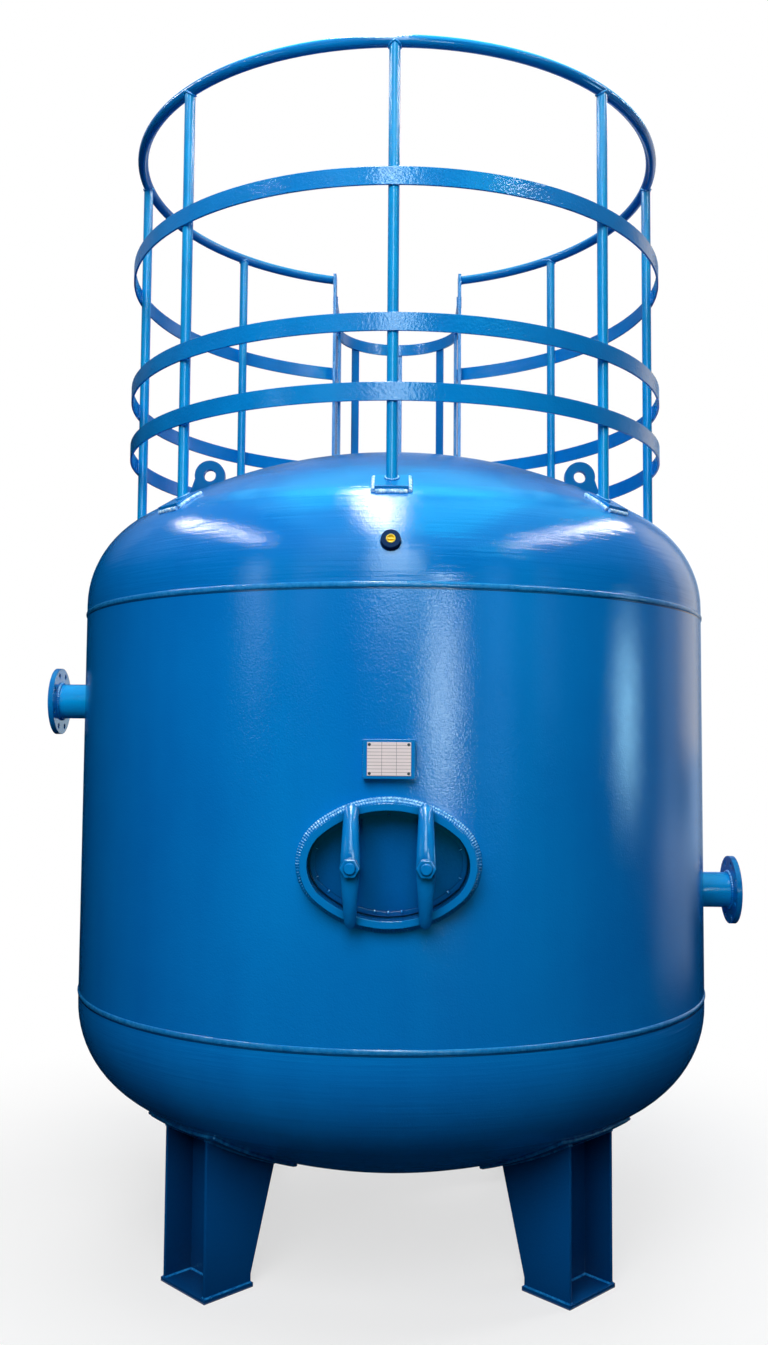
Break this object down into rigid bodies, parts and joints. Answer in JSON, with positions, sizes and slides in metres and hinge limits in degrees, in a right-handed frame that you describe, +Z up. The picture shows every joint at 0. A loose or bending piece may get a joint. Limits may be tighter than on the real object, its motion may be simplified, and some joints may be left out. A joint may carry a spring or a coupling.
{
  "type": "vertical pressure tank",
  "caption": "Upright blue steel pressure tank on legs, with domed ends, an oval manway, flanged side nozzles, a railed top and a caged ladder behind.",
  "frame": {"origin": "on the floor, under the middle of the whole tank's box", "axes": "+Z up, -Y towards the manway, -X towards the inlet nozzle"},
  "size_m": [2.264, 2.5821, 3.4664],
  "materials": {
    "blue_enamel": "gloss",
    "plug_plastic": "satin",
    "plate_metal": "satin",
    "gasket_rubber": "matte"
  },
  "bodies": {
    "root": {"shell": "blue_enamel", "top_head": "blue_enamel", "bottom_head": "blue_enamel", "upper_girth_weld": "blue_enamel", "lower_girth_weld": "blue_enamel", "manway_neck": "blue_enamel", "manway_cover": "blue_enamel", "cover_ring": "blue_enamel", "manway_gasket": "gasket_rubber", "manway_yokes": "blue_enamel", "manway_studs": "blue_enamel", "manway_nuts": "blue_enamel", "inlet_pipe": "blue_enamel", "inlet_flange": "blue_enamel", "outlet_pipe": "blue_enamel", "outlet_flange": "blue_enamel", "vent_socket": "blue_enamel", "vent_plug": "plug_plastic", "nameplate_bracket": "blue_enamel", "nameplate": "plate_metal", "left_lifting_lug": "blue_enamel", "right_lifting_lug": "blue_enamel", "top_rail": "blue_enamel", "upper_band": "blue_enamel", "middle_band": "blue_enamel", "lower_band": "blue_enamel", "front_post": "blue_enamel", "front_corner_posts": "blue_enamel", "side_posts": "blue_enamel", "rear_corner_posts": "blue_enamel", "post_shoes": "blue_enamel", "gate_bars": "blue_enamel", "left_stile": "blue_enamel", "right_stile": "blue_enamel", "rungs": "blue_enamel", "ladder_brackets": "blue_enamel", "guard_links": "blue_enamel", "cage_hoops": "blue_enamel", "cage_straps": "blue_enamel", "front_left_leg": "blue_enamel", "front_right_leg": "blue_enamel", "rear_left_leg": "blue_enamel", "rear_right_leg": "blue_enamel", "leg_pads": "blue_enamel", "foot_plates": "blue_enamel"}
  },
  "joints": []
}
